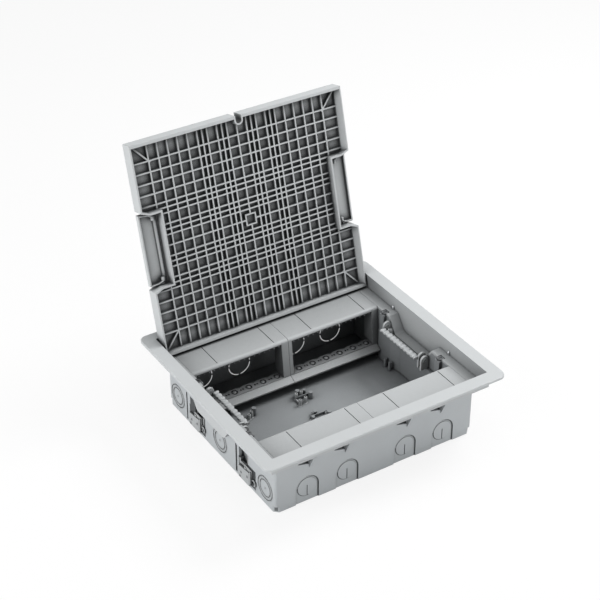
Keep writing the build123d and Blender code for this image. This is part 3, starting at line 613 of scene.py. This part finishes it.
# Device holders, in millimetres: domes in the tie eyelets, teeth under the top plates' front edges, and the shelf
# lips' meeting ends at the middle. Every third tooth is wider, and the front lip is the rear one turned about midY.
shelf = {"top": 19.0, "dome": ((0, 0.9), (1.0, 0.85), (1.6, 0.65), (2.0, 0.2), (2.1, -0.4), (0, -0.4)),
         "lipRear": ((52.1, 18.5), (52.1, 17.0), (44.0, 13.2), (44.0, 14.8)), "midY": -3.65, "lipEnds": (0.18, 3.5),
         "teeth": 17, "toothFirst": 4.1, "toothSpan": 96.6, "toothWidth": 1.5, "wide": 1.5, "tip": 0.5,
         "toothZ": (54.7, 57.4), "toothY": ((56.2, 57.9), (-65.2, -63.5)), "edge": 0.1}


def toothOutline(x, half):
    # A tooth that narrows to its tip below
    low, top = shelf["toothZ"]
    tip = half * shelf["tip"]
    return [(x - half, top), (x - tip, low), (x + tip, low), (x + half, top)]


def makeShelfDetail():
    # Turned domes at the eyelets' places, and outlines of teeth and lips carried along Y and X
    surfaces = []
    for shift in (0.0, eyelets["shiftLeft"]):
        for i in range(eyelets["count"]):
            x = eyelets["first"] + i * eyelets["pitch"] + shift
            surfaces += [turned(shelf["dome"], (x, eyelets[row], shelf["top"]), "z", facets["small"])
                         for row in ("rear", "front")]
        for i in range(shelf["teeth"]):
            x = shelf["toothFirst"] + (i + 0.5) * shelf["toothSpan"] / shelf["teeth"] + shift
            half = shelf["toothWidth"] / 2 * (shelf["wide"] if i % 3 == 0 else 1.0)
            surfaces += [slab(toothOutline(x, half), *span, "y", shelf["edge"]) for span in shelf["toothY"]]
    lipFront = [(2 * shelf["midY"] - y, z) for y, z in shelf["lipRear"]]
    near, far = shelf["lipEnds"]
    for outline in (shelf["lipRear"], lipFront):
        surfaces += [slab(outline, *span, "x", shelf["edge"]) for span in ((-far, -near), (near, far))]
    addPiece("shelfDetail", surfaces, holderFinish, "base")


makeShelfDetail()

# Moulded posts on the tub's floor, in millimetres: X, Y, radius and height of each, and flat ribs between them as
# low and high X, low and high Y, and height. The profile's rows are a share of the radius, a share of the height
# and a step up from there.
floorPosts = {"posts": ((-5.5, 32.3, 1.6, 8.0), (0.9, 33.1, 1.5, 8.0), (0.0, 23.9, 1.6, 7.0),
                        (-7.4, 22.4, 1.6, 7.5), (-57.7, 32.4, 1.6, 7.5), (-61.6, 30.7, 1.6, 6.0),
                        (-4.9, 2.4, 1.7, 4.8), (7.3, -3.3, 1.5, 2.6)),
              "ribs": ((-5.5, 0.9, 32.0, 33.2, 3.4), (-7.4, -6.4, 22.4, 32.0, 2.4), (-61.6, -57.7, 31.0, 32.0, 3.4)),
              "profile": ((0, 1, -1.2), (0.45, 1, -1.2), (0.55, 1, 0), (0.9, 1, 0), (1, 1, -0.4), (1.08, 0, 0.5),
                          (1.5, 0, -0.1), (0, 0, -0.3)),
              "floor": 2.5, "ribFoot": 2.3, "ribEdge": 0.2}


def makeFloorPosts():
    # Posts with a hollow head and a flared foot as turned profiles, and ribs as rectangles carried up
    surfaces, base = [], floorPosts["floor"]
    for x, y, radius, height in floorPosts["posts"]:
        profile = [(share * radius, whole * height + step) for share, whole, step in floorPosts["profile"]]
        surfaces.append(turned(profile, (x, y, base), "z", facets["small"]))
    for *plan, height in floorPosts["ribs"]:
        surfaces.append(slab(rectangle(*plan), floorPosts["ribFoot"], base + height, "z", floorPosts["ribEdge"]))
    addPiece("floorPosts", surfaces, fittingFinish, "base")


makeFloorPosts()
print("shelves and floor posts made")

# The lid turns about the hinge, placed in millimetres; its pieces are drawn shut and swung open here
hinge = {"y": 99.89, "z": 68.57, "open": math.radians(104.87)}


def swungOpen(surfaces):
    # Y and Z about the hinge, turned by the opening angle
    c, s = math.cos(hinge["open"]), math.sin(hinge["open"])
    out = []
    for surface in surfaces:
        y, z = surface[..., 1] - hinge["y"], surface[..., 2] - hinge["z"]
        out.append(np.stack([surface[..., 0], hinge["y"] + y * c + z * s, hinge["z"] - y * s + z * c], axis=-1))
    return out


# Cable-exit flaps, in millimetres with the lid shut: end cheeks that run in from the lid's edge to a knob beside
# the hinge barrel, with a rounded lower lip
flap = {"end": 36.0, "cheek": ((117.0, 73.0), (103.6, 73.0), (103.6, 67.2), (109.0, 68.4), (117.0, 70.0)),
        "cheekThick": 1.4, "cheekEdge": 0.25, "lip": ((117.0, 36.0, 69.9), (109.0, 35.0, 68.2), (103.6, 32.6, 67.2)),
        "lipRadius": 0.8, "knobPlace": (103.6, 32.1, 68.8),
        "knob": ((0, 1.9), (1.1, 1.8), (1.9, 1.2), (2.1, 0), (2.0, -3.0), (0, -3.2))}


def makeFlapCheeks():
    # The cheek's outline carried along Y, a bead along its lower lip, and the knob as a turned profile
    f = flap
    surfaces = []
    for end in (-1, 1):
        span = sorted((end * (f["end"] - f["cheekThick"]), end * f["end"]))
        surfaces.append(slab(f["cheek"], *span, "y", f["cheekEdge"]))
        surfaces.append(bead([(x, end * y, z) for x, y, z in f["lip"]], f["lipRadius"]))
        x, y, z = f["knobPlace"]
        surfaces.append(turned([(r, h * end) for r, h in f["knob"]], (x, end * y, z), "y", facets["small"]))
    for name, side in sides.items():
        addPiece("flapCheeks_" + name, swungOpen(mirrorX(surfaces, side)), lidFinish, "cable_flap_" + name)


makeFlapCheeks()

# Bright studs at the foot of the recess walls, in millimetres
wallStuds = {"x": 119.4, "y": (44.6, -49.8), "z": 62.5,
             "profile": ((0, 1.6), (0.7, 1.5), (1.1, 1.0), (1.3, -0.2), (0, -0.4))}


def makeWallStuds():
    # A domed profile turned about Z at each place
    surfaces = [turned(wallStuds["profile"], (side * wallStuds["x"], y, wallStuds["z"]), "z", facets["small"])
                for side in sides.values() for y in wallStuds["y"]]
    addPiece("wallStuds", surfaces, steel, "base")


makeWallStuds()
print("flap cheeks and studs made")

# Pale sweep under the box, in metres: the camera sees it nearly white, with a trace of the shadow
floor = {"size": 8.0, "height": -0.0004, "shade": 0.90, "drift": 0.01, "cloud": (2.0, 2.0, 0.55), "rough": 0.9,
         "specular": 0.1, "white": 0.84}


def makeFloor():
    # A flat square; its paint mixes plain white in for the camera alone
    half, z, shade, drift = floor["size"] / 2, floor["height"], floor["shade"], floor["drift"]
    mesh = bpy.data.meshes.new("studioFloor")
    mesh.from_pydata([(-half, -half, z), (half, -half, z), (half, half, z), (-half, half, z)], [], [(0, 1, 2, 3)])
    obj = bpy.data.objects.new("studioFloor", mesh)
    bpy.context.scene.collection.objects.link(obj)
    s = Shader("studioFloorPaint")
    cloud = s.noise(*floor["cloud"])
    colour = s.mixColour(cloud, grey(shade - drift), grey(shade + drift))
    mesh.materials.append(s.finish(Base_Color=colour, Roughness=floor["rough"], Specular_IOR_Level=floor["specular"]))
    white = s.add("ShaderNodeEmission", {}, {})
    seen = s.add("ShaderNodeLightPath", {}, {}, "Is Camera Ray") * floor["white"]
    mix = s.add("ShaderNodeMixShader", {}, {0: seen, 1: Sock(s, s.bsdf.outputs[0]), 2: white})
    s.feed(s.tree.nodes["Material Output"].inputs[0], mix)
    obj.visible_shadow = False


makeFloor()

# Softboxes: position, size in metres, watts, and the point that they face
softboxes = {"key": {"place": (0.85, 0.05, 0.95), "size": 0.5, "power": 9.0, "aim": (0, 0, 0.1)},
             "top": {"place": (0.1, -0.1, 1.9), "size": 1.2, "power": 6.5, "aim": (0, 0.05, 0.1)},
             "left": {"place": (-1.5, 0.1, 0.7), "size": 1.0, "power": 14.5, "aim": (0, 0, 0.1)},
             "front": {"place": (0.5, -1.6, 0.5), "size": 0.8, "power": 5.0, "aim": (0, 0, 0.05)}}


def makeLight(name, settings):
    # The lamp's tilt and heading are those of the line from the point that it faces
    data = bpy.data.lights.new(name, "AREA")
    data.shape = "SQUARE"
    data.size = settings["size"]
    data.energy = settings["power"]
    obj = bpy.data.objects.new(name, data)
    bpy.context.scene.collection.objects.link(obj)
    offset = np.array(settings["place"]) - np.array(settings["aim"])
    obj.location = settings["place"]
    flat = math.hypot(offset[0], offset[1])
    obj.rotation_euler = (math.atan2(flat, offset[2]), 0, math.atan2(offset[0], -offset[1]))


for name, settings in softboxes.items():
    makeLight(name, settings)

# White surroundings for the camera and for reflections, softer light for the object
surroundings = {"seen": 1.0, "light": 0.36}


def makeWorld():
    # Strength runs from the light level to the seen one where the ray is the camera's or a reflection
    world = bpy.data.worlds.new("whiteStudio")
    world.use_nodes = True
    bpy.context.scene.world = world
    s = NodeTree(world.node_tree)
    camera, glossy = [s.add("ShaderNodeLightPath", {}, {}, ray) for ray in ("Is Camera Ray", "Is Glossy Ray")]
    values = {"Value": camera.math("MAXIMUM", glossy), "To Min": surroundings["light"], "To Max": surroundings["seen"]}
    strength = s.add("ShaderNodeMapRange", {}, values, "Result")
    background = s.tree.nodes["Background"]
    s.feed(background.inputs["Color"], (1, 1, 1, 1))
    s.feed(background.inputs["Strength"], strength)


makeWorld()

# The photograph's viewpoint in metres, degrees and millimetres of lens, solved from the object's own edges
view = {"place": (-0.6965, -1.0616, 0.9944), "pitch": 56.043, "heading": -32.443, "lens": 97.37,
        "sensor": 36.0, "clipEnd": 50.0}


def makeCamera():
    # Tilted up from straight down by the pitch, then turned about Z by the heading
    data = bpy.data.cameras.new("photoView")
    data.lens = view["lens"]
    data.sensor_width = view["sensor"]
    data.clip_end = view["clipEnd"]
    obj = bpy.data.objects.new("photoView", data)
    bpy.context.scene.collection.objects.link(obj)
    obj.location = view["place"]
    obj.rotation_euler = (math.radians(view["pitch"]), 0, math.radians(view["heading"]))
    bpy.context.scene.camera = obj


makeCamera()
bpy.context.scene.view_settings.view_transform = "Standard"
print("camera, lights and floor ready")
